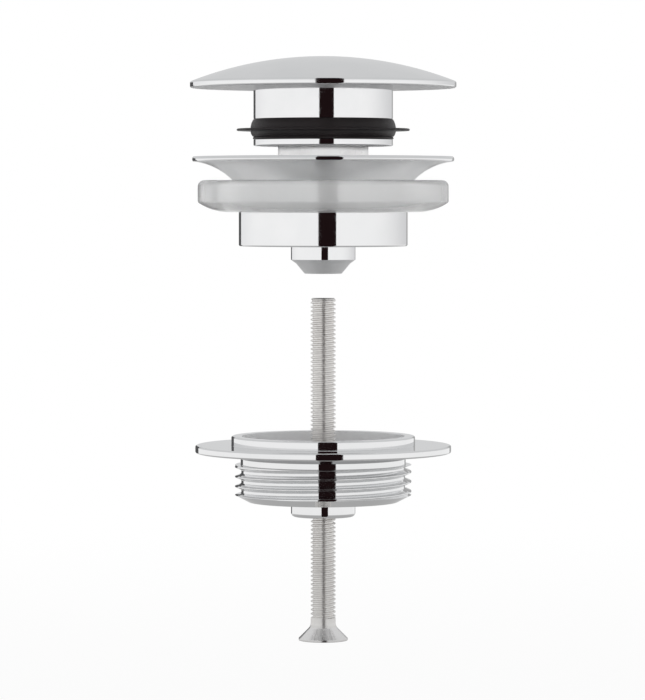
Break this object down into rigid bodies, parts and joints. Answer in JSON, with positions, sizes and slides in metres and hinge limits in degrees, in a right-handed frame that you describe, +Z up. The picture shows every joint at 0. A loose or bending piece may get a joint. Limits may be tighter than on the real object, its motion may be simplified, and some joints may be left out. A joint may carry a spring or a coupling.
{
  "type": "pop up basin waste",
  "caption": "Push-open basin waste: domed sprung plug with lip seal over a flared body and soft seal, clamped through the basin by a long countersunk screw to a flanged, threaded tail.",
  "frame": {"origin": "on the axis, at the underside of the basin seal, where the body enters the basin's hole", "axes": "+Z up along the axis out of the basin; X and Y lie midway between the spokes"},
  "size_m": [0.063, 0.063, 0.1386],
  "materials": {
    "chrome_plate": "polished",
    "bright_steel": "satin",
    "spring_steel": "satin",
    "zinc_steel": "satin",
    "black_rubber": "matte",
    "clear_silicone": "satin",
    "white_plastic": "gloss",
    "cream_plastic": "satin"
  },
  "bodies": {
    "basin_body": {"upper_body": "chrome_plate", "basin_seal": "clear_silicone", "grip_o_ring": "black_rubber"},
    "cartridge": {"cartridge_housing": "white_plastic", "cartridge_collar": "white_plastic", "return_spring": "spring_steel"},
    "plug": {"plug_cap": "chrome_plate", "cap_stud": "bright_steel", "cap_gasket": "black_rubber", "plug_sleeve": "chrome_plate", "plug_seal": "black_rubber", "plunger": "white_plastic", "rotor_clip": "bright_steel"},
    "rotor": {"cam_rotor": "cream_plastic"},
    "screw": {"clamp_screw": "zinc_steel"},
    "tail": {"tail_body": "chrome_plate"}
  },
  "joints": [
    {"name": "cartridge_pull", "type": "slide", "parent": "basin_body", "child": "cartridge", "axis": [0, 0, 1], "range_m": [0, 0.05]},
    {"name": "plug_pop", "type": "slide", "parent": "cartridge", "child": "plug", "axis": [0, 0, 1], "range_m": [-0.0106, 0], "stiffness_N_per_m": 250, "springref_m": 0.02, "deforming": ["return_spring"]},
    {"name": "cam_turn", "type": "hinge", "parent": "plug", "child": "rotor", "pos_m": [0, 0, 0.0158], "axis": [0, 0, 1], "range_deg": [0, 40]},
    {"name": "screw_advance", "type": "slide", "parent": "basin_body", "child": "screw", "axis": [0, 0, 1], "range_m": [0, 0.033]},
    {"name": "tail_slide", "type": "slide", "parent": "screw", "child": "tail", "axis": [0, 0, 1], "range_m": [-0.0289, 0.0115]}
  ],
  "couplings": [
    {"joint": "cam_turn", "follows": "plug_pop", "rad_per_m": -65.86}
  ]
}
